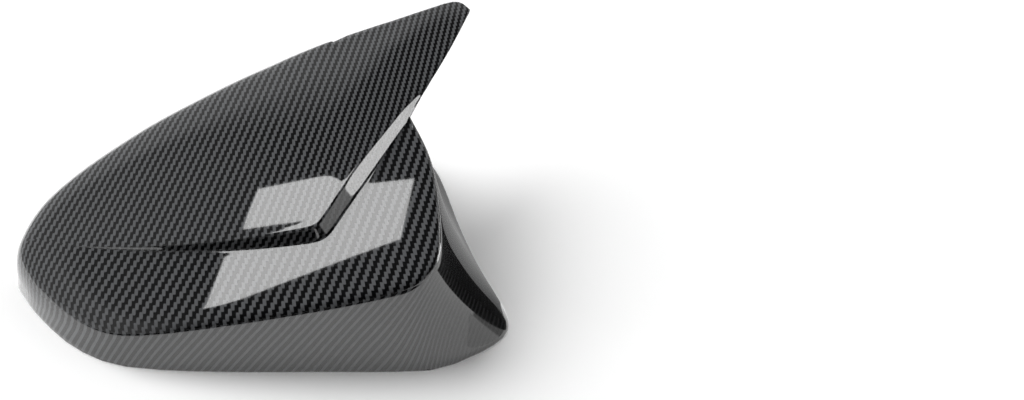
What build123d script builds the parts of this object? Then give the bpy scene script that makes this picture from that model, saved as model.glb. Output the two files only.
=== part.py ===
from build123d import *

import math
import os

# Driving dimensions, in millimetres: X runs from the outboard nose to the foot, Y from the lower
# wall to the upper wall of the fitted cover, Z up from the rim
WALL = 2.5
ORIGIN = (110.75, 79.65)  # the middle of the cover's bounding box, which becomes the frame's origin

# The two outlines that the side wall runs between: at the rim, and at the height WALL_TOP
WALL_TOP = 60.0
WALL_CURVE = 40.0        # the wall steepens over this height, which gives the foot its flare
WALL_LEVELS = (0.0, 9.0, 20.0, 36.0, 60.0, 100.0)
RIM = [
    (-2, 62), (2.5, 45), (13.5, 32), (28, 18), (45, 7), (65, 2), (100, 0), (144, 0), (170, 0),
    (191, 1.4), (208, 10), (221, 21.5), (223.5, 33), (218, 49), (208.6, 71), (199.6, 99.4),
    (193, 124), (186, 143), (172, 156), (147, 159), (122, 154.5), (97, 147.5), (73, 137.5),
    (49, 125), (24.5, 108), (5, 87),
]
TOP = [
    (2, 65), (8, 49), (22, 37), (38, 27), (53, 17), (70, 10), (101, 6), (142, 6), (165, 8),
    (180, 10), (187, 15), (190.5, 22), (192.5, 32), (193, 50), (189.5, 75), (182, 98),
    (172, 119), (160, 140), (150, 149), (138, 151), (119, 147), (98, 140), (76, 131),
    (52, 120), (29, 105), (9.5, 86),
]

# The lower face is nearly flat and sloped; the blade climbs away from it towards the foot end
FACE_BASE = 6.3
FACE_SLOPE = (0.19, 0.25)
FACE_CROWN = 1.5
BLADE_CROWN = 3.5
BLADE_TILT = 0.042
STEP_FADE_X = 35.0
CROWN_CENTRE = (135.0, 85.0)
CROWN_REACH = (125.0, 95.0)
ROLL_RADIUS = 14.0       # rounding where the blade rolls over into the side wall
ROLL_BEVEL = 9.0         # leg of the bevel that stands in for that rounding inside the shell

# The crease between lower face and blade: a shallow arc along the face, then a straight diagonal
CREASE_CORNER = (143.5, 36.9)
CREASE_LEFT = ((-30.0, 77.0), (60.0, 46.0))
CREASE_ANGLE = 58.5
CREASE_ROUND = 10.0
CREASE_TAPER = 30.0
CREASE_TURN = 0.45       # degrees that the diagonal turns per millimetre of height: it ends upright

# The blade runs on past the end wall as a plate, the horn: its plan, and the rounding of its tip
HORN = [(100, 60), (112, 130), (143.4, 142.5), (198.5, 153.8), (205.4, 149.8), (178, 89), (150, 60)]
HORN_TIP_ROUND = 4.0
HORN_THICK = 3.0

# Snap lugs on the inner wall, each named by the outline point that it stands on
LUG_ROWS = (5, 7, 20, 22)
LUG_WIDTH = 12.0
LUG_HEIGHT = 9.0
LUG_RISE = 3.0
LUG_REACH = 2.5
LUG_ROOT = 1.2

SLOPE_FACTOR = 1.05      # drop of a sloped surface per millimetre of wall


def outline_points(z, inset):
    """Points of the side wall at height z, each with the inward normal, moved inwards by inset."""
    rise = (1 - math.exp(-z / WALL_CURVE)) / (1 - math.exp(-WALL_TOP / WALL_CURVE))
    points = [Vector(x + (u - x) * rise, y + (v - y) * rise, z) for (x, y), (u, v) in zip(RIM, TOP)]
    placed = []
    for index, point in enumerate(points):
        along = (points[(index + 1) % len(points)] - points[index - 1]).normalized()
        inward = Vector(-along.Y, along.X, 0)
        placed.append((point + inward * inset, inward))
    return placed


def outline_wire(z, inset):
    return Wire([Edge.make_spline([point for point, inward in outline_points(z, inset)], periodic=True)])


def wall_block(inset):
    return Solid.make_loft([outline_wire(z, inset) for z in WALL_LEVELS])


def face_plane(x, y):
    return FACE_BASE + FACE_SLOPE[0] * x + FACE_SLOPE[1] * y


def crown(x, y):
    return 1 - ((x - CROWN_CENTRE[0]) / CROWN_REACH[0]) ** 2 - ((y - CROWN_CENTRE[1]) / CROWN_REACH[1]) ** 2


def face_height(x, y):
    return face_plane(x, y) + FACE_CROWN * crown(x, y)


def blade_height(x, y):
    return face_plane(x, y) + BLADE_TILT * (x - STEP_FADE_X) + BLADE_CROWN * crown(x, y)


def under(height, drop):
    """Everything under a crowned surface that lies drop below the given height field."""
    sections = []
    for x in (-30, 50, 130, 190, 250):
        low, far = -40, 200
        ridge = Edge.make_spline([Vector(x, y, height(x, y) - drop) for y in (low, 40, 120, far)])
        base = Wire.make_polygon(
            [ridge @ 1, Vector(x, far, -60), Vector(x, low, -60), ridge @ 0], close=False)
        sections.append(Wire([ridge, *base.edges()]))
    return Solid.make_loft(sections)


def crease_wire(shift, lift, turn):
    """The crease's path closed round the outside of the near and foot sides, at lift above the face plane."""
    angle = math.radians(CREASE_ANGLE - turn)
    x = CREASE_CORNER[0] - shift * (1 - math.cos(angle)) / math.sin(angle)
    y = CREASE_CORNER[1] + shift
    end = (x + 200 * math.cos(angle), y + 200 * math.sin(angle))
    (x0, y0), (x1, y1) = CREASE_LEFT
    normal = Vector(-FACE_SLOPE[0], -FACE_SLOPE[1], 1).normalized()

    def place(px, py):
        return Vector(px, py, face_plane(px, py)) + normal * lift

    edges = [
        Edge.make_three_point_arc(place(x0, y0 + shift), place(x1, y1 + shift), place(x, y)),
        Edge.make_line(place(x, y), place(*end)),
        Edge.make_line(place(*end), place(320, -60)),
        Edge.make_line(place(320, -60), place(x0, -60)),
        Edge.make_line(place(x0, -60), place(x0, y0 + shift)),
    ]
    face = Face(Wire(edges))
    corner = face.vertices().sort_by_distance(place(x, y))[0]
    return face.fillet_2d(max(1.0, CREASE_ROUND - shift), [corner]).outer_wire()


def crease_block(inset):
    """The block in front of the crease; its sloped side is the blade's edge."""
    slope = math.tan(math.radians(CREASE_TAPER))
    wires = [
        crease_wire(inset + lift * slope, lift - inset, lift * CREASE_TURN) for lift in (-7.0, 14.0)]
    return Solid.make_loft(wires, ruled=True)


def horn_block():
    """The blade's plan beyond the wall, as an upright prism."""
    plan = make_face(Polyline(*HORN, close=True))
    tip = plan.vertices().sort_by_distance((*HORN[3], 0))[0]
    plan = fillet(tip, HORN_TIP_ROUND)
    return extrude(plan, 130)


def body_block(inset):
    """The cover's body as a solid block: the outer form, or the cavity at wall thickness."""
    drop = inset * SLOPE_FACTOR
    block = wall_block(inset) & under(blade_height, drop)
    loop = block.edges().filter_by(lambda edge: edge.center().Z > 12 and edge.length > 200)
    block = block.chamfer(ROLL_BEVEL, ROLL_BEVEL, loop) if inset else block.fillet(ROLL_RADIUS, loop)
    pocket = crease_block(inset) - under(face_height, drop)
    return block - pocket


def snap_lug(row):
    """A wedge on the inner wall that the housing's ledge snaps over, at one point of the outline."""
    foot, inward = outline_points(LUG_HEIGHT, WALL)[row]
    plane = Plane(origin=foot, x_dir=inward, z_dir=Vector(inward.Y, -inward.X, 0))
    profile = plane * Polygon(
        (-LUG_ROOT, LUG_RISE), (LUG_REACH, LUG_RISE), (0, -LUG_RISE), (-LUG_ROOT, -LUG_RISE), align=None)
    return extrude(profile, LUG_WIDTH / 2, both=True)


def main():
    os.makedirs("parts", exist_ok=True)
    horn = (horn_block() - crease_block(0)) & under(blade_height, 0)
    horn = horn - under(blade_height, HORN_THICK)
    cover = body_block(0) + horn
    cover = cover - body_block(WALL)
    for row in LUG_ROWS:
        cover = cover + snap_lug(row)
    cover = cover.moved(Location((-ORIGIN[0], -ORIGIN[1], 0)))
    export_step(cover, "parts/mirror_cover.step")


main()
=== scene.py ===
import math

import bmesh
import bpy
from bpy.props import FloatProperty, FloatVectorProperty, IntProperty, PointerProperty
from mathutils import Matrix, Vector


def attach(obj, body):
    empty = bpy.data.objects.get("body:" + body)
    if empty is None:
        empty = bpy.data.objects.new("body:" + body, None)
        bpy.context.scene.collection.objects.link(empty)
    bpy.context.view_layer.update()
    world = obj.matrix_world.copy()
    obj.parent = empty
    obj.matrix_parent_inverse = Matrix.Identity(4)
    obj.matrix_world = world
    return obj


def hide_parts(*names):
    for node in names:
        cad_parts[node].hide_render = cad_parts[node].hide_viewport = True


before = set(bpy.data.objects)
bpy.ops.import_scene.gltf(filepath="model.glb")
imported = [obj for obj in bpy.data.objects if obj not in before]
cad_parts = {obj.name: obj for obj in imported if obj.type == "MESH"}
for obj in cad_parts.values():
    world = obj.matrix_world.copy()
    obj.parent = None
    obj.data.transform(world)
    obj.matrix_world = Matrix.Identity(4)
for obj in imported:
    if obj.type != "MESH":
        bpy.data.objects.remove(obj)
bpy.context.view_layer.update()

bl_info = {
    "name": "Carbon mirror cover",
    "version": (1, 0, 0),
    "blender": (4, 5, 0),
    "location": "View3D > Sidebar > Mirror cover",
    "description": "Models the moulded wing mirror cover with its clear-coated carbon film, and its stage",
    "category": "Object",
}

MM = 0.001

# The outline of the side wall, in millimetres from the sheet's own corner: the rim that rests on the
# floor, and the same points where the wall has risen by WALL_TOP. They run from the outboard nose
# along the lower wall, round the foot, up the end wall and back along the upper wall.
SHEET_CORNER = (110.75, 79.65)
WALL_TOP, WALL_CURVE = 60.0, 40.0
RIM = [
    (-2, 62), (5.5, 45.5), (15, 32.5), (28, 18.5), (45, 7), (65, 2), (100, 0), (144, 0), (170, 0),
    (191, 1.4), (208, 10), (221, 21.5), (223.5, 33), (218, 49), (208.6, 71), (199.6, 99.4),
    (193, 124), (186, 143), (172, 156), (147, 159), (122, 154.5), (97, 147.5), (73, 137.5),
    (49, 125), (24.5, 108), (5, 87),
]
TOP = [
    (2, 65), (8, 49), (22, 37), (38, 27), (53, 17), (70, 10), (101, 6), (142, 6), (165, 8),
    (180, 10), (187, 15), (190.5, 22), (192, 32), (192, 50), (188.8, 75), (179.2, 98),
    (168.5, 119), (159, 140), (150, 149), (138, 151), (119, 147), (98, 140), (76, 131),
    (52, 120), (29, 105), (9.5, 86),
]

# The lower face is nearly flat and sloped; the blade climbs away from it towards the foot end
FACE_BASE, FACE_SLOPE = 6.3, (0.19, 0.25)
FACE_CROWN, BLADE_CROWN = 1.5, 3.5
CROWN_CENTRE, CROWN_REACH = (135.0, 85.0), (125.0, 95.0)
BLADE_TILT, STEP_FADE_X = 0.042, 35.0

# The crease: a shallow arc along the lower face through two points and the corner, then a diagonal
CREASE_CORNER = (143.5, 36.9)
CREASE_ARC = ((-30.0, 77.0), (60.0, 46.0))
CREASE_ANGLE = math.radians(58.5)
CREASE_TAPER = math.tan(math.radians(30))
CREASE_BEND = 6.0  # reach of the rounding of the corner, along the crease
CREASE_FADE = -114.0  # where the crease runs out at the nose
CREASE_SHARE = 0.3  # the most of a strip that the rounding at the crease takes up
# The blade sinks towards the lower face where the diagonal runs out: how far, between which places along
# the diagonal it comes and goes, and how far beside it
NOTCH_SINK, SINK_IN, SINK_OUT, SINK_BESIDE = 2.7, (25, 70), (140, 75), 28
# Up to where the lower face runs into the blade's surface at the nose, and how softly
NOSE_END, NOSE_BLEND = 60, 0.3

# Stations round the outline (outline point numbers), and the place on the crease, in millimetres
# along it from its corner, that each of them faces
NEAR_FACING = [
    (0.0, CREASE_FADE), (1.2, -109), (2.4, -100), (4.0, -86), (5.2, -70), (6.2, -45), (7.2, -20),
    (8.2, -8),
    (8.9, -3), (9.5, 1), (10.2, 5), (11.0, 12), (12.0, 23), (13.0, 37), (14.0, 54), (14.6, 64.5),
    (14.88, 69.3),
]
FAR_FACING = [
    (26.0, CREASE_FADE), (25.2, -109), (24.6, -100), (24.0, -86), (23.3, -70), (22.3, -45), (21.3, -20),
    (20.8, -8), (20.6, -3), (20.4, 1), (20.2, 5), (20.0, 12), (19.7, 23), (19.4, 37), (19.0, 54),
    (18.75, 64.5), (18.6, 69.3),
]
# Steps that each gap between two listed stations is split into
STATION_STEPS = (4, 3, 3, 2, 3, 3, 2, 1, 1, 1, 2, 2, 2, 2, 1, 1)
# Stations of the end wall that lie below the horn, and how far they stay under the blade's surface
HIDDEN_STATIONS = [15.15, 15.5, 16.0, 16.5, 17.0, 17.4, 17.8, 18.1, 18.35]
HIDDEN_DROP = 1.3
# How far the rounding of the top edge reaches at each station
EDGE_REACH = [
    (0, 9.0), (1.5, 10.0), (3, 8.5), (4.5, 5.5), (6, 3.4), (9, 3.0), (10, 2.6), (12, 2.2), (14, 2.0),
    (15.1, 1.2), (16, 5.0), (17.5, 9.0), (18.2, 4.0), (18.6, 1.9), (19.4, 10.0), (20.4, 18.0), (23.5, 17.5),
    (25, 12.5), (26, 9.0),
]
# How far the wall leans in under the horn's far edge, where that edge grows out of it
EDGE_LEAN = [
    (0, 0.0), (16, 0.0), (17, 2.0), (18, 5.6), (18.6, 7.3), (19.4, 4.0), (20.4, 0.2), (21, 0.0), (26, 0.0)]
RIM_LIP = 1.2  # height of the upright lip at the rim

# The horn's free edge, as X by place along Y from the notch to its near corner; the places along it where
# columns start; and the places on its far edge where they end
HORN_FREE = [
    (101.0, 182.4), (107.6, 186.5), (118.6, 192.6), (129.9, 198.4), (142.2, 203.8), (146.4, 205.6),
    (147.6, 205.5),
]
HORN_ALONG = (104.0, 107.5, 111.5, 116.0, 121.5, 127.5, 134.0, 140.0, 144.0, 146.4, 147.6)
HORN_FAR = [
    (148.5, 143.8), (155.0, 145.1), (162.0, 146.5), (169.0, 147.7), (176.0, 149.2), (182.5, 150.6),
    (188.5, 151.9), (193.5, 153.0), (197.6, 153.3), (200.4, 152.4), (202.4, 150.9),
]
HORN_BEVEL = [(104.0, 1.5), (111.0, 0.7), (150.0, 0.6)]  # the free edge's bevel, by place along Y
HORN_EDGE_SHARE = 0.4  # share of the wall's thickness that the horn's free edge has
# Where the thinning ends: this far inside the free edge, below these places along Y and in height
THIN_REACH, THIN_START, THIN_LOW = 12, (104, 98), (72, 60)

# Shares at which rows of vertices lie: up the wall, over the rounded edge, across face and blade
WALL_SHARES = (0.0, 0.15, 0.34, 0.56, 0.78, 1.0)
EDGE_SHARES = (0.25, 0.5, 0.75, 1.0)
FACE_SHARES = (0.2, 0.4, 0.6, 0.8)

# The snap lugs: their stations, height, root in the wall, reach at the top and at the foot, and bevel
LUG_STATIONS = (5, 7, 20, 22)
LUG_TALL, LUG_ROOT, LUG_REACH, LUG_TOE, LUG_BEVEL = 6.0, 1.2, 2.5, 0.3, 0.4

# How the carbon film lies: from its pin at the nose it is stretched over the lower face and the wall
# below it, and drawn together on the horn. Its ribs lean, and stand more upright towards the foot end.
FILM_UNIT = 0.01  # one millimetre of film, in the texture coordinates
FILM_PIN = (15.0, 60.0)
FILM_LEAN = (0.458, -0.00148)
RIB_LEAN = 0.348
FACE_STRETCH, FACE_SPAN, FACE_PIVOT = 1.22, (5.0, 45.0), 30.0
HORN_STRETCH, HORN_SPAN, HORN_PIVOT = 0.82, (125.0, 165.0), 95.0
END_SQUEEZE, NEAR_SHEAR = 0.8, 0.62
END_PAINTED_SHADE = 0.85  # painted shade: how much darker the lit tows of the end wall are painted
TOOTH_DEPTH = 0.64  # how far the teeth reach into a rib, where 1 is half its height
RIB_EDGE = (-0.2, 0.45)  # heights on a rib, from -1 to 1, between which dark turns to lit
GRAINS_PER_MM = 0.9  # the grain of the tool inside, coarser than it is so that it shows


def linear(hex_colour):
    """A colour written as sRGB hex, as the linear values that the nodes take."""
    parts = [int(hex_colour[i:i + 2], 16) / 255 for i in (1, 3, 5)]
    return tuple(c / 12.92 if c <= 0.04045 else ((c + 0.055) / 1.055) ** 2.4 for c in parts)


# ---------------------------------------------------------------- settings

class CoverSizes(bpy.types.PropertyGroup):
    wall: FloatProperty(
        name="Wall", description="Thickness of the moulded shell", default=0.0025, unit="LENGTH")
    crease_round: FloatProperty(
        name="Crease rounding", description="Reach of the small rounding at both sides of the crease",
        default=0.0007, unit="LENGTH")
    smoothness: IntProperty(
        name="Smoothness", description="Subdivision levels of the skin", default=2, min=1, max=3)
    lug_width: FloatProperty(
        name="Lug width", description="Width of a snap lug inside the rim", default=0.012, unit="LENGTH")
    lug_height: FloatProperty(
        name="Lug height", description="Height of a snap lug's middle above the rim",
        default=0.009, unit="LENGTH")


class CoverFinish(bpy.types.PropertyGroup):
    tow_light: FloatVectorProperty(
        name="Lit tow", description="Colour of the tows that face the light", subtype="COLOR",
        default=linear("#565759"), min=0, max=1)
    wale: FloatProperty(
        name="Wale spacing", description="Distance between two diagonal ribs of the twill, across the cover",
        default=0.0037, unit="LENGTH")
    tooth: FloatProperty(
        name="Tooth pitch", description="Length of one step of the twill's ribs",
        default=0.00245, unit="LENGTH")


class CoverStage(bpy.types.PropertyGroup):
    overhead_level: FloatProperty(
        name="Overhead level",
        description="Brightness that the main light gives a white table, where 1 is white", default=1.0)
    softbox_level: FloatProperty(
        name="Softbox level", description="Brightness of the softbox, where 1 is white", default=7.5)


# ---------------------------------------------------------------- small helpers

def blend_keys(keys, at):
    """Straight interpolation in a list of (position, value) pairs that runs up or down."""
    pairs = list(zip(keys, keys[1:]))
    for (a, p), (b, q) in pairs:
        if min(a, b) <= at <= max(a, b):
            return p + (q - p) * (at - a) / (b - a)
    return keys[0][1] if abs(at - keys[0][0]) < abs(at - keys[-1][0]) else keys[-1][1]


def smooth(start, end, at):
    """0 before start, 1 past end, and a soft step between them."""
    share = min(1.0, max(0.0, (at - start) / (end - start)))
    return share * share * (3 - 2 * share)


def closed_curve(points, at):
    """A point on the smooth closed curve through the points, at a station counted in points."""
    index = math.floor(at)
    t = at - index
    a, b, c, d = (Vector(points[(index + k) % len(points)]) for k in (-1, 0, 1, 2))
    return 0.5 * (
        (2 * b) + (c - a) * t + (2 * a - 5 * b + 4 * c - d) * t ** 2 + (3 * b - a - 3 * c + d) * t ** 3)


def placed(point):
    """A point of the sheet, in millimetres, as a place in the frame, in metres."""
    return Vector((point.x - SHEET_CORNER[0], point.y - SHEET_CORNER[1], point.z)) * MM


# ---------------------------------------------------------------- the cover's surfaces

def wall_point(at, z):
    """The side wall at a station and a height; it steepens as it rises, which flares the foot."""
    rise = (1 - math.exp(-z / WALL_CURVE)) / (1 - math.exp(-WALL_TOP / WALL_CURVE))
    plan = closed_curve(RIM, at).lerp(closed_curve(TOP, at), rise)
    return Vector((plan.x, plan.y, z))


def outward(at):
    """The level direction that the wall faces at a station."""
    along = closed_curve(TOP, at + 0.2) - closed_curve(TOP, at - 0.2)
    return Vector((along.y, -along.x, 0)).normalized()


def base_plane(x, y):
    """Height of the sloped plane that face and blade are crowned over."""
    return FACE_BASE + FACE_SLOPE[0] * x + FACE_SLOPE[1] * y


def crown(x, y):
    """Shape of the crown: 1 at its middle, 0 and less towards the outline."""
    return 1 - ((x - CROWN_CENTRE[0]) / CROWN_REACH[0]) ** 2 - ((y - CROWN_CENTRE[1]) / CROWN_REACH[1]) ** 2


def face_height(x, y):
    """The lower face."""
    return base_plane(x, y) + FACE_CROWN * crown(x, y)


def blade_height(x, y):
    """The blade's surface, with its sink at the notch."""
    along_x, along_y = x - CREASE_CORNER[0], y - CREASE_CORNER[1]
    along = along_x * math.cos(CREASE_ANGLE) + along_y * math.sin(CREASE_ANGLE)
    beside = along_y * math.cos(CREASE_ANGLE) - along_x * math.sin(CREASE_ANGLE)
    sink = NOTCH_SINK * smooth(*SINK_IN, along) * smooth(*SINK_OUT, along)
    sink *= smooth(SINK_BESIDE, 0, abs(beside))
    return base_plane(x, y) + BLADE_TILT * (x - STEP_FADE_X) + BLADE_CROWN * crown(x, y) - sink


def near_height(x, y):
    """The lower face, which runs into the blade's surface at the nose."""
    face, blade = face_height(x, y), blade_height(x, y)
    return 0.5 * (face + blade - math.hypot(face - blade, NOSE_BLEND)) if x < NOSE_END else face


def on_height(plan, height):
    """A place in plan, raised to a surface."""
    return Vector((plan.x, plan.y, height(plan.x, plan.y)))


def crease_plan(along):
    """The crease's path in plan, in millimetres along it from its corner, which is rounded."""
    (x0, y0), (x1, y1), (x2, y2) = CREASE_ARC[0], CREASE_ARC[1], CREASE_CORNER

    def raw(c):
        if c > 0:
            return Vector((x2 + c * math.cos(CREASE_ANGLE), y2 + c * math.sin(CREASE_ANGLE), 0))
        x = x2 + c
        y = (y0 * (x - x1) * (x - x2) / ((x0 - x1) * (x0 - x2))
             + y1 * (x - x0) * (x - x2) / ((x1 - x0) * (x1 - x2))
             + y2 * (x - x0) * (x - x1) / ((x2 - x0) * (x2 - x1)))
        return Vector((x, y, 0))

    if abs(along) >= CREASE_BEND:
        return raw(along)
    t = (along + CREASE_BEND) / (2 * CREASE_BEND)
    return raw(-CREASE_BEND) * (1 - t) ** 2 + raw(0) * 2 * t * (1 - t) + raw(CREASE_BEND) * t ** 2


def crease_point(along, height):
    """The blade's sloped edge where it meets the lower face or the blade's surface."""
    plan = crease_plan(along)
    tangent = (crease_plan(along + 0.5) - crease_plan(along - 0.5)).normalized()
    inward = Vector((-tangent.y, tangent.x, 0))
    up = Vector((-FACE_SLOPE[0], -FACE_SLOPE[1], 1)).normalized()
    lift = 0.0
    for _ in range(12):
        spot = plan + inward * (lift * CREASE_TAPER)
        spot = Vector((spot.x, spot.y, base_plane(spot.x, spot.y))) + up * lift
        lift += height(spot.x, spot.y) - spot.z
    return spot


def edge_column(at, height, drop=0.0):
    """One station's points from the rim up its upright lip, up the wall and over the rounded top edge."""
    lean, reach, away = blend_keys(EDGE_LEAN, at), blend_keys(EDGE_REACH, at), outward(at)
    z = top = 40.0
    for _ in range(30):
        edge = wall_point(at, z) - away * lean
        z = top = height(edge.x, edge.y) - drop

    def leaning(z):
        over_lip = wall_point(at, max(0.0, z - RIM_LIP)) - away * (lean * (z / top) ** 2)
        return over_lip + Vector((0, 0, min(z, RIM_LIP)))

    edge = leaning(top)
    inner = on_height(edge - away * reach, height) - Vector((0, 0, drop))
    lower = leaning(top - reach)
    points = [leaning(0.0)] + [leaning(RIM_LIP + share * (lower.z - RIM_LIP)) for share in WALL_SHARES]
    for t in EDGE_SHARES:
        points.append(lower * (1 - t) ** 2 + edge * 2 * t * (1 - t) + inner * t ** 2)
    return points


def stations(facing):
    """The stations between the listed ones: (station on the outline, place along the crease)."""
    spread = [facing[0]]
    for (a, p), (b, q), steps in zip(facing, facing[1:], STATION_STEPS):
        spread += [(a + (b - a) * k / steps, p + (q - p) * k / steps) for k in range(1, steps + 1)]
    return spread


def horn_columns():
    """Points across the horn from its free edge to its far edge, one column for each step to its tip."""
    columns = []
    for y, far in zip(HORN_ALONG, HORN_FAR):
        free = Vector((blend_keys(HORN_FREE, y), y, 0))
        bevel = blend_keys(HORN_BEVEL, y)
        upper = free - Vector((bevel, 0, 0))
        columns.append((
            on_height(free, blade_height) - Vector((0, 0, bevel)),
            on_height(upper, blade_height),
            on_height(Vector((*far, 0)), blade_height),
        ))
    return columns


# ---------------------------------------------------------------- mesh steps

def extrude_row(mesh, edges, targets):
    """Extrudes a row of edges and moves each new vertex to its target, a dict by the old vertex."""
    made = bmesh.ops.extrude_edge_only(mesh, edges=edges)["geom"]
    new_edges = [item for item in made if isinstance(item, bmesh.types.BMEdge)]
    fresh = {item for item in made if isinstance(item, bmesh.types.BMVert)}
    follow = {}
    for vertex in fresh:
        old = next(e.other_vert(vertex) for e in vertex.link_edges if e.other_vert(vertex) in targets
                   and e.other_vert(vertex) not in fresh)
        follow[old] = vertex
        vertex.co = targets[old]
    return follow, [e for e in new_edges if e.verts[0] in fresh and e.verts[1] in fresh]


def row_edges(vertices):
    """The edges between each vertex of a row and the next."""
    return [edge for a, b in zip(vertices, vertices[1:]) for edge in a.link_edges if edge.other_vert(a) is b]


def chain(mesh, start, points):
    """A line of vertices through a list of places, extruded one by one from a first vertex."""
    line = [start]
    for point in points:
        made = bmesh.ops.extrude_vert_indiv(mesh, verts=[line[-1]])["verts"]
        made[0].co = point
        line.append(made[0])
    return line


def new_piece(name, mesh, materials):
    """Makes a piece of the cover from a finished mesh and puts it on the part's body."""
    data = bpy.data.meshes.new(name)
    mesh.to_mesh(data)
    mesh.free()
    piece = bpy.data.objects.new(name, data)
    bpy.context.scene.collection.objects.link(piece)
    for material in materials:
        data.materials.append(material)
    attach(piece, "root")
    return piece


def grow(mesh, line, rows):
    """Extrudes a line of vertices through rows of places and returns every row's vertices."""
    grid = [line]
    edges = row_edges(line)
    if line[0] in [e.other_vert(line[-1]) for e in line[-1].link_edges] and len(line) > 2:
        edges += row_edges([line[-1], line[0]])
    for row in rows:
        follow, edges = extrude_row(mesh, edges, dict(zip(grid[-1], row)))
        grid.append([follow[v] for v in grid[-1]])
    return grid


def film_place(point, change, span, pivot):
    """The carbon film's own coordinates at an unrolled place. Over the span along X the cloth goes over
    to a pattern that is closer by the given change, or wider where it is negative."""
    start, end = span
    reach = min(max(point.x, start), end) - start
    closer = 1 + change * smooth(start, end, point.x)
    lean = (FILM_LEAN[0] - RIB_LEAN) * (point.y - FILM_PIN[1])
    fan = FILM_LEAN[1] * (point.x - FILM_PIN[0]) * (point.y - pivot)
    x = point.x + change * (reach * reach / (2 * (end - start)) + max(0.0, point.x - end))
    return x - (lean + fan) * closer, pivot + (point.y - pivot) * max(1.0, closer)


def face_film(point):
    """The film on the lower face and the wall below it."""
    return film_place(point, 1 / FACE_STRETCH - 1, FACE_SPAN, FACE_PIVOT)


def blade_film(point):
    """The film on the blade, the horn and the far wall."""
    return film_place(point, 1 / HORN_STRETCH - 1, HORN_SPAN, HORN_PIVOT)


def free_edge_share(place):
    """How full the shell's thickness is at a place: 1 all over, falling to 0 at the horn's free edge."""
    x, y = place.x / MM + SHEET_CORNER[0], place.y / MM + SHEET_CORNER[1]
    inside = blend_keys(HORN_FREE, y) - x
    return max(smooth(0, THIN_REACH, inside), smooth(*THIN_START, y), smooth(*THIN_LOW, place.z / MM))


def unrolled(points, at):
    """A wall column's points laid flat from the top edge outwards; below its rounding the film is sheared."""
    away, top = outward(at), points[-1]
    length, bare, spots = 0.0, 0.0, [top]
    for upper, lower in zip(points[::-1], points[-2::-1]):
        step = (upper - lower).length
        length += step
        bare += step if len(spots) > len(EDGE_SHARES) else 0.0
        spots.append(top + away * length * (1 + END_SQUEEZE * max(0.0, away.x))
                     + Vector((NEAR_SHEAR * max(0.0, -away.y) * bare, 0, 0)))
    return spots[::-1]


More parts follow.
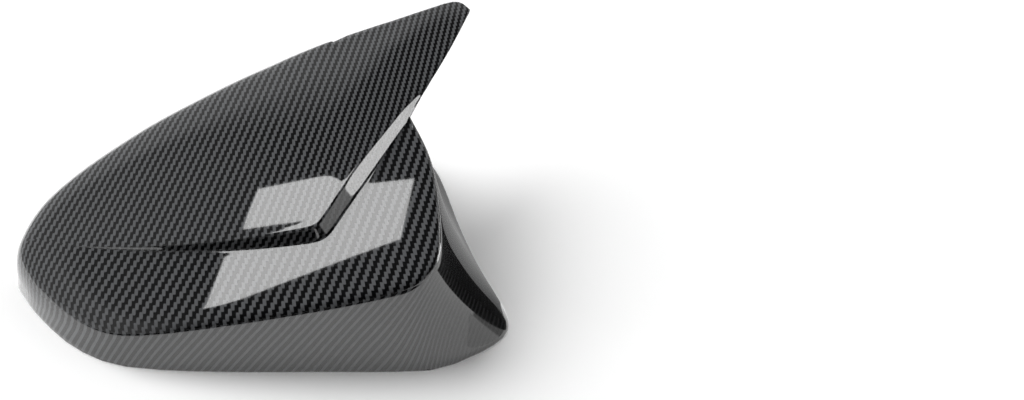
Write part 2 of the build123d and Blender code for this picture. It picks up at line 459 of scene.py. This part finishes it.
class MIRRORCOVER_OT_shell(bpy.types.Operator):
    """Models the one-piece shell: wall, lower face, crease, blade and horn"""
    bl_idname = "mirrorcover.shell"
    bl_label = "Cover shell"

    def execute(self, context):
        sizes = context.scene.mirrorcover_sizes
        mesh = bmesh.new()
        teeth, painted_end_shade = mesh.verts.layers.float.new("teeth"), mesh.verts.layers.float.new("painted_end_shade")
        near = stations(NEAR_FACING)
        far = stations(FAR_FACING)
        count = len(near)
        ring = [at for at, along in near] + HIDDEN_STATIONS + [at for at, along in far[:0:-1]]
        columns = []
        for index, at in enumerate(ring):
            if index < count:
                columns.append(edge_column(at, blade_height if index == 0 else near_height))
            elif index < count + len(HIDDEN_STATIONS):
                columns.append(edge_column(at, blade_height, HIDDEN_DROP))
            else:
                columns.append(edge_column(at, blade_height))

        # The wall: the rim as a closed line, raised row by row and turned over the top edge
        first, *others = [placed(column[0]) for column in columns]
        rim = chain(mesh, mesh.verts.new(first), others)
        mesh.edges.new((rim[-1], rim[0]))
        wall = grow(mesh, rim, [[placed(column[k]) for column in columns] for k in range(1, len(columns[0]))])
        flat = {}
        for index, at in enumerate(ring):
            for row, spot in zip(wall, unrolled(columns[index], at)):
                flat[row[index]] = spot

        # The lower face, from the near part of the top edge to the foot of the crease
        tops = [column[-1] for column in columns]
        near_tops = tops[:count]
        far_tops = [tops[0]] + tops[:len(tops) - count:-1]
        fade = on_height(crease_plan(CREASE_FADE), blade_height)
        low = [fade] + [crease_point(along, near_height) for at, along in near[1:]]
        high = [fade] + [crease_point(along, blade_height) for at, along in near[1:]]
        horn = horn_columns()

        def across(a, b, share, height):
            return on_height(a.lerp(b, share), height)

        def rounding(a, b):
            return min(CREASE_SHARE, sizes.crease_round / MM / max((b - a).length, 0.01))

        rows = []
        for share in FACE_SHARES:
            rows.append([across(a, b, share, blade_height if i == 0 else near_height)
                         for i, (a, b) in enumerate(zip(near_tops, low))])
        rows.append([across(a, b, 1 - rounding(a, b), blade_height if i == 0 else near_height)
                     for i, (a, b) in enumerate(zip(near_tops, low))])
        rows.append(low)
        face = grow(mesh, wall[-1][:count], [[placed(p) for p in row] for row in rows])
        for row, places in zip(face[1:], rows):
            flat.update(zip(row, places))
        far_wall = {vertex for row in wall for vertex in row[count + len(HIDDEN_STATIONS) // 2:]}
        lower_film = {}
        for polygon in mesh.faces:
            film = blade_film if far_wall & set(polygon.verts) else face_film
            lower_film[polygon] = {vertex: film(flat[vertex]) for vertex in polygon.verts}

        # The blade: up the crease's sloped edge, then over to the far part of the top edge; past the
        # notch the same rows run on into the horn
        foot = face[-1][:-1] + chain(mesh, face[-1][-1], [placed(column[0]) for column in horn])
        lows = low + [column[0] for column in horn]
        highs = high + [column[1] for column in horn]
        fars = far_tops + [column[2] for column in horn]
        rows = [
            [a.lerp(b, rounding(a, b)) for a, b in zip(lows, highs)],
            [b.lerp(a, rounding(a, b)) for a, b in zip(lows, highs)],
            highs,
            [across(a, b, rounding(a, b), blade_height) for a, b in zip(highs, fars)],
        ]
        for share in FACE_SHARES + (1.0,):
            rows.append([across(a, b, share, blade_height) for a, b in zip(highs, fars)])
        blade = grow(mesh, foot, [[placed(p) for p in row] for row in rows])
        # The film runs on down the crease's edge, the rows up to the high one, as if that lay flat
        upper_film = {}
        for number, (row, places) in enumerate(zip(blade, [lows] + rows)):
            for vertex, spot, high, far_place in zip(row, places, highs, fars):
                down = max(0.0, high.z - spot.z) if number < 3 else 0.0
                upper_film[vertex] = blade_film(spot + (high - far_place).normalized() * down)

        # The ribs have their teeth on face and blade; on the wall they run smoothly, and the lit tows that
        # turn towards the foot end are painted darker, a painted shade in their colour
        for vertex in mesh.verts:
            vertex[teeth] = vertex[painted_end_shade] = 1.0
        for index, at in enumerate(ring):
            for row in wall[:-len(EDGE_SHARES)]:
                row[index][teeth] = 0.0
                row[index][painted_end_shade] = 1 - END_PAINTED_SHADE * max(0.0, outward(at).x)

        layer = mesh.loops.layers.uv.new("film")
        for polygon in mesh.faces:
            places = lower_film.get(polygon, upper_film)
            for loop in polygon.loops:
                x, y = places[loop.vert]
                loop[layer].uv = (x * FILM_UNIT, y * FILM_UNIT)
        bmesh.ops.remove_doubles(mesh, verts=mesh.verts, dist=2e-5)
        bmesh.ops.recalc_face_normals(mesh, faces=mesh.faces)
        middle = max(mesh.faces, key=lambda polygon: polygon.calc_area())
        if middle.normal.z < 0:
            bmesh.ops.reverse_faces(mesh, faces=mesh.faces)
        for polygon in mesh.faces:
            polygon.smooth = True

        piece = new_piece("cover_shell", mesh, [carbon_film(context), moulded_inside()])
        group = piece.vertex_groups.new(name="thickness")
        for vertex in piece.data.vertices:
            group.add([vertex.index], free_edge_share(vertex.co), "REPLACE")
        thick = piece.modifiers.new("Wall", "SOLIDIFY")
        thick.thickness = sizes.wall
        thick.offset = -1
        thick.vertex_group = "thickness"
        thick.thickness_vertex_group = HORN_EDGE_SHARE
        thick.material_offset = 1
        thick.material_offset_rim = 0
        thick.edge_crease_rim = 0.75
        thick.edge_crease_outer = 0.75
        thick.edge_crease_inner = 0.75
        skin = piece.modifiers.new("Smooth skin", "SUBSURF")
        skin.levels = skin.render_levels = sizes.smoothness
        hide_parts("mirror_cover")
        return {"FINISHED"}


class MIRRORCOVER_OT_lugs(bpy.types.Operator):
    """Models the snap lugs inside the rim"""
    bl_idname = "mirrorcover.lugs"
    bl_label = "Snap lugs"

    def execute(self, context):
        sizes = context.scene.mirrorcover_sizes
        mesh = bmesh.new()
        for at in LUG_STATIONS:
            away = outward(at)
            along = Vector((-away.y, away.x, 0))
            foot = wall_point(at, sizes.lug_height / MM) - away * (sizes.wall / MM)
            lug = bmesh.ops.create_cube(mesh, size=1.0)["verts"]
            for vertex in lug:
                side, reach, rise = vertex.co
                inside = LUG_ROOT if reach < 0 else (-LUG_REACH if rise > 0 else -LUG_TOE)
                spread = along * side * (sizes.lug_width / MM)
                vertex.co = placed(foot + spread + away * inside + Vector((0, 0, rise * LUG_TALL)))
        bmesh.ops.recalc_face_normals(mesh, faces=mesh.faces)
        bmesh.ops.bevel(
            mesh, geom=mesh.edges[:], offset=LUG_BEVEL * MM, offset_type="OFFSET", segments=2, profile=0.5,
            affect="EDGES", material=-1)
        new_piece("snap_lugs", mesh, [moulded_inside()])
        return {"FINISHED"}


# ---------------------------------------------------------------- materials

def add_node(tree, kind, inputs=None, **settings):
    """Adds a node with its settings; each input is a value or another node's output socket."""
    node = tree.nodes.new(kind)
    for name, value in settings.items():
        setattr(node, name, value)
    for name, value in (inputs or {}).items():
        if isinstance(value, bpy.types.NodeSocket):
            tree.links.new(value, node.inputs[name])
        else:
            node.inputs[name].default_value = value
    return node


def new_material(name):
    """An empty node material of the given name, and its tree."""
    material = bpy.data.materials.get(name) or bpy.data.materials.new(name)
    material.use_nodes = True
    material.node_tree.nodes.clear()
    return material, material.node_tree


def carbon_film(context):
    """Twill carbon film under a polished clear lacquer: dark cloth with lit diagonal ribs that have
    stepped edges, deep below a mirror-like coat."""
    finish = context.scene.mirrorcover_finish
    material, tree = new_material("carbon_twill_clear_lacquer")
    uv = add_node(tree, "ShaderNodeUVMap", uv_map="film")
    split = add_node(tree, "ShaderNodeSeparateXYZ", {0: uv.outputs["UV"]})

    # The ribs cross the film at their spacing and lean; a finer wave that slants across them, one tooth
    # long, moves both of their edges, which gives the stepped sides of a twill
    tooth, wale = finish.tooth / MM * FILM_UNIT, finish.wale / MM * FILM_UNIT
    leaning = add_node(
        tree, "ShaderNodeMath", {0: split.outputs["Y"], 1: -RIB_LEAN, 2: split.outputs["X"]},
        operation="MULTIPLY_ADD")
    rib_turn = add_node(
        tree, "ShaderNodeMath", {0: leaning.outputs[0], 1: 2 * math.pi / wale}, operation="MULTIPLY")
    rib = add_node(tree, "ShaderNodeMath", {0: rib_turn.outputs[0]}, operation="COSINE")
    tooth_turn = add_node(
        tree, "ShaderNodeMath", {0: split.outputs["Y"], 1: 2 * math.pi / tooth}, operation="MULTIPLY")
    slant_turn = add_node(
        tree, "ShaderNodeMath", {0: rib_turn.outputs[0], 1: 2.0, 2: tooth_turn.outputs[0]},
        operation="MULTIPLY_ADD")
    teeth = add_node(tree, "ShaderNodeMath", {0: slant_turn.outputs[0]}, operation="SINE")
    toothed = add_node(tree, "ShaderNodeAttribute", attribute_name="teeth")
    depth = add_node(
        tree, "ShaderNodeMath", {0: toothed.outputs["Fac"], 1: TOOTH_DEPTH}, operation="MULTIPLY")
    height = add_node(
        tree, "ShaderNodeMath", {0: teeth.outputs[0], 1: depth.outputs[0], 2: rib.outputs[0]},
        operation="MULTIPLY_ADD")
    # Painted shade: on the end wall the lit tows are dimmed, by a share that the shell stores per vertex
    painted_end_shade = add_node(tree, "ShaderNodeAttribute", attribute_name="painted_end_shade")
    amount = add_node(
        tree, "ShaderNodeMapRange",
        {"Value": height.outputs[0], "From Min": RIB_EDGE[0], "From Max": RIB_EDGE[1],
         "To Max": painted_end_shade.outputs["Fac"]},
        interpolation_type="SMOOTHSTEP")
    colour = add_node(
        tree, "ShaderNodeMix", {
            "Factor": amount.outputs["Result"], "A": (*linear("#060607"), 1), "B": (*finish.tow_light, 1)},
        data_type="RGBA")
    shader = add_node(tree, "ShaderNodeBsdfPrincipled", {
        "Base Color": colour.outputs["Result"], "Roughness": 0.42, "Specular IOR Level": 0.05,
        "Coat Weight": 1.0, "Coat Roughness": 0.02, "Coat IOR": 1.55,
    })
    add_node(tree, "ShaderNodeOutputMaterial", {"Surface": shader.outputs["BSDF"]})
    return material


def moulded_inside():
    """Black ABS as moulded: dull, with a fine even grain from the tool."""
    material, tree = new_material("black_abs_moulded")
    place = add_node(tree, "ShaderNodeTexCoord")
    grain = add_node(
        tree, "ShaderNodeTexNoise",
        {"Vector": place.outputs["Object"], "Scale": GRAINS_PER_MM / MM, "Detail": 3.0})
    tone = add_node(
        tree, "ShaderNodeMix", {
            "Factor": grain.outputs["Fac"], "A": (*linear("#1b1b1c"), 1), "B": (*linear("#28282a"), 1)},
        data_type="RGBA")
    bump = add_node(
        tree, "ShaderNodeBump", {"Height": grain.outputs["Fac"], "Strength": 0.2, "Distance": 0.2 * MM})
    shader = add_node(tree, "ShaderNodeBsdfPrincipled", {
        "Base Color": tone.outputs["Result"], "Roughness": 0.55, "Normal": bump.outputs["Normal"]})
    add_node(tree, "ShaderNodeOutputMaterial", {"Surface": shader.outputs["BSDF"]})
    return material


# ---------------------------------------------------------------- stage

# What the overexposed table gives off besides the light it scatters: to the camera, and to the lacquer
TABLE_TO_CAMERA, TABLE_IN_LACQUER = 0.14, 1.2
TABLE_REACH, TABLE_DROP = 6.0, 0.0002
# Where the main light comes from, and how wide it looks from the table
LIGHT_FROM, LIGHT_WIDTH = (-0.75, 0.5, 0.95), math.radians(45)

# The studio round it, by direction: the bright wall behind, by its steepness and its rise to the right;
# the wall on the left; and the horizon, which is dark in front. Each has the two values it fades between.
BACK_STEEPNESS, BACK_RISE, BACK_FADE, BACK_LEVEL = 1.6, 0.4, (0.08, 0.28), 0.95
LEFT_FADE, LEFT_LEVEL = (-0.62, -0.42), 0.7
HORIZON_FADE, FRONT_FADE, HORIZON_LEVEL = (0.12, 0.35), (-0.7, -0.4), 0.95
CEILING_LEVEL = 0.02

# The softbox, whose reflection lies across crease and lower face, and the cards round the cover: name,
# brightness as a share of the softbox, and corners in metres. The right card lights the diagonal edge
# and the edge card the lower face's rounded end, and the side card carries the table's brightness on.
# The dark card beside the foot is black in the lacquer, for the neighbouring cover that is left out and a
# painted shade of the table there; the grey card on the table beside the foot is a painted reflection of
# the table's shade; the table end is dark in the lacquer.
CARDS = (
    ("softbox", 1.0, (
        (-0.475, 0.246, 0.9), (-0.2535, 0.285, 0.9), (-0.2355, 0.357, 0.9), (-0.45, 0.312, 0.9))),
    ("softbox_far", 1.0, (
        (-0.51, 0.333, 0.9), (-0.2535, 0.285, 0.9), (-0.2355, 0.357, 0.9), (-0.489, 0.392, 0.9))),
    ("right_card", 1.2, (
        (0.215, -0.053, 0.05), (0.215, 0.02, 0.05), (0.215, 0.02, 0.13), (0.215, -0.053, 0.13))),
    ("edge_card", 0.7, (
        (0.58, 0.12, 0.52), (0.58, 0.4, 0.52), (0.58, 0.4, 0.72), (0.58, 0.12, 0.72))),
    # Painted reflection: black in the lacquer, for the neighbouring cover and the table's shade beside the
    # foot
    ("dark_card", 0.0, (
        (0.121, -0.05, 0.0), (0.121, 0.11, 0.0), (0.126, 0.11, 0.03), (0.126, -0.06, 0.03))),
    # Painted shade: grey in the lacquer, for the table's shade beside the foot
    ("painted_table_shade", 0.045, (
        (0.07, -0.035, 0.0004), (0.122, -0.035, 0.0004), (0.122, 0.09, 0.0004), (0.07, 0.09, 0.0004))),
    ("table_end", 0.0, (
        (-0.9, -1.5, 0.0004), (0.2, -1.5, 0.0004), (0.2, -0.16, 0.0004), (-0.9, -0.16, 0.0004))),
    ("side_card", 0.24, (
        (0.6, -0.45, 0.0), (0.6, -0.06, 0.0), (0.6, -0.06, 0.2), (0.6, -0.45, 0.2))),
)


class MIRRORCOVER_OT_stage(bpy.types.Operator):
    """Sets up the white table, the light, the cards, the surroundings and the camera"""
    bl_idname = "mirrorcover.stage"
    bl_label = "Studio stage"

    def panel(self, name, corners, level):
        """A studio panel through four corners that only the cover's reflections see."""
        mesh = bmesh.new()
        made = bmesh.ops.create_grid(mesh, x_segments=1, y_segments=1, size=1.0)["verts"]
        for vertex, corner in zip(made, (corners[0], corners[1], corners[3], corners[2])):
            vertex.co = corner
        data = bpy.data.meshes.new(name)
        mesh.to_mesh(data)
        mesh.free()
        material, tree = new_material(name + "_cloth")
        glow = add_node(tree, "ShaderNodeEmission", {"Strength": level})
        add_node(tree, "ShaderNodeOutputMaterial", {"Surface": glow.outputs[0]})
        data.materials.append(material)
        card = bpy.data.objects.new(name, data)
        card.visible_camera = card.visible_diffuse = card.visible_shadow = False
        bpy.context.scene.collection.objects.link(card)

    def execute(self, context):
        scene = context.scene
        settings = scene.mirrorcover_stage

        mesh = bmesh.new()
        bmesh.ops.create_grid(mesh, x_segments=1, y_segments=1, size=TABLE_REACH)
        bmesh.ops.translate(mesh, verts=mesh.verts, vec=(0, 0, -TABLE_DROP))
        data = bpy.data.meshes.new("table")
        mesh.to_mesh(data)
        mesh.free()
        table = bpy.data.objects.new("table", data)
        scene.collection.objects.link(table)
        material, tree = new_material("white_table_laminate")
        rays = add_node(tree, "ShaderNodeLightPath")
        through = add_node(
            tree, "ShaderNodeMath",
            {0: rays.outputs["Is Camera Ray"], 1: rays.outputs["Is Transmission Ray"]}, operation="MAXIMUM")
        mirrored = add_node(
            tree, "ShaderNodeMath", {0: rays.outputs["Is Glossy Ray"], 1: TABLE_IN_LACQUER},
            operation="MULTIPLY")
        level = add_node(
            tree, "ShaderNodeMath", {0: through.outputs[0], 1: TABLE_TO_CAMERA, 2: mirrored.outputs[0]},
            operation="MULTIPLY_ADD")
        matt = add_node(tree, "ShaderNodeBsdfDiffuse", {"Color": (*linear("#f2f2f2"), 1)})
        glow = add_node(tree, "ShaderNodeEmission", {"Strength": level.outputs[0]})
        both = add_node(tree, "ShaderNodeAddShader", {0: matt.outputs[0], 1: glow.outputs[0]})
        add_node(tree, "ShaderNodeOutputMaterial", {"Surface": both.outputs[0]})
        data.materials.append(material)

        # The even light that the cover stands in; it stays out of the lacquer's reflections
        overhead = bpy.data.lights.new("overhead", "SUN")
        overhead.angle = LIGHT_WIDTH
        overhead.energy = settings.overhead_level * math.pi
        lamp = bpy.data.objects.new("overhead", overhead)
        lamp.rotation_euler = (-Vector(LIGHT_FROM)).to_track_quat("-Z", "Y").to_euler()
        lamp.visible_camera = lamp.visible_glossy = False
        scene.collection.objects.link(lamp)

        for name, share, corners in CARDS:
            self.panel(name, corners, settings.softbox_level * share)

        world = bpy.data.worlds.new("studio")
        scene.world = world
        world.use_nodes = True
        tree = world.node_tree
        tree.nodes.clear()
        direction = add_node(tree, "ShaderNodeTexCoord")
        split = add_node(tree, "ShaderNodeSeparateXYZ", {0: direction.outputs["Generated"]})
        over = add_node(
            tree, "ShaderNodeMath", {0: split.outputs["Y"], 1: -BACK_STEEPNESS, 2: split.outputs["Z"]},
            operation="MULTIPLY_ADD")
        rising = add_node(
            tree, "ShaderNodeMath", {0: split.outputs["X"], 1: -BACK_RISE, 2: over.outputs[0]},
            operation="MULTIPLY_ADD")
        back = add_node(
            tree, "ShaderNodeMapRange",
            {"Value": rising.outputs[0], "From Min": BACK_FADE[0], "From Max": BACK_FADE[1],
             "To Min": BACK_LEVEL, "To Max": CEILING_LEVEL},
            interpolation_type="SMOOTHSTEP")
        left = add_node(
            tree, "ShaderNodeMapRange",
            {"Value": split.outputs["X"], "From Min": LEFT_FADE[0], "From Max": LEFT_FADE[1],
             "To Min": LEFT_LEVEL, "To Max": 0.0})
        wall = add_node(
            tree, "ShaderNodeMath", {0: back.outputs["Result"], 1: left.outputs["Result"]},
            operation="MAXIMUM")
        front = add_node(
            tree, "ShaderNodeMapRange",
            {"Value": split.outputs["Y"], "From Min": FRONT_FADE[0], "From Max": FRONT_FADE[1],
             "To Max": HORIZON_LEVEL})
        low = add_node(
            tree, "ShaderNodeMapRange",
            {"Value": split.outputs["Z"], "From Min": HORIZON_FADE[0], "From Max": HORIZON_FADE[1],
             "To Min": front.outputs["Result"], "To Max": 0.0},
            interpolation_type="SMOOTHSTEP")
        level = add_node(
            tree, "ShaderNodeMath", {0: wall.outputs[0], 1: low.outputs["Result"]}, operation="MAXIMUM")
        sky = add_node(tree, "ShaderNodeBackground", {"Strength": level.outputs[0]})
        add_node(tree, "ShaderNodeOutputWorld", {"Surface": sky.outputs[0]})

        camera = bpy.data.cameras.new("camera")
        camera.sensor_fit = "HORIZONTAL"
        camera.sensor_width = 36
        camera.lens = 77.34
        camera.clip_start, camera.clip_end = 0.05, 50
        eye = bpy.data.objects.new("camera", camera)
        eye.location = (0.11425, -0.767, 0.67493)
        eye.rotation_euler = (math.radians(50), 0, 0)
        scene.collection.objects.link(eye)
        scene.camera = eye
        scene.view_settings.view_transform = "Standard"
        return {"FINISHED"}


class MIRRORCOVER_PT_panel(bpy.types.Panel):
    """Lists the cover's pieces and the stage, with their settings"""
    bl_idname = "MIRRORCOVER_PT_panel"
    bl_label = "Mirror cover"
    bl_space_type = "VIEW_3D"
    bl_region_type = "UI"
    bl_category = "Mirror cover"

    def draw(self, context):
        for operator in (MIRRORCOVER_OT_shell, MIRRORCOVER_OT_lugs, MIRRORCOVER_OT_stage):
            self.layout.operator(operator.bl_idname)
        scene = context.scene
        for group in (scene.mirrorcover_sizes, scene.mirrorcover_finish, scene.mirrorcover_stage):
            box = self.layout.box()
            for name in group.__annotations__:
                box.prop(group, name)


CLASSES = (
    CoverSizes, CoverFinish, CoverStage,
    MIRRORCOVER_OT_shell, MIRRORCOVER_OT_lugs, MIRRORCOVER_OT_stage, MIRRORCOVER_PT_panel,
)


def register():
    for item in CLASSES:
        bpy.utils.register_class(item)
    bpy.types.Scene.mirrorcover_sizes = PointerProperty(type=CoverSizes)
    bpy.types.Scene.mirrorcover_finish = PointerProperty(type=CoverFinish)
    bpy.types.Scene.mirrorcover_stage = PointerProperty(type=CoverStage)


def unregister():
    del bpy.types.Scene.mirrorcover_stage
    del bpy.types.Scene.mirrorcover_finish
    del bpy.types.Scene.mirrorcover_sizes
    for item in reversed(CLASSES):
        bpy.utils.unregister_class(item)


def main():
    register()
    bpy.ops.mirrorcover.stage()
    bpy.ops.mirrorcover.shell()
    bpy.ops.mirrorcover.lugs()


if __name__ == "__main__":
    main()
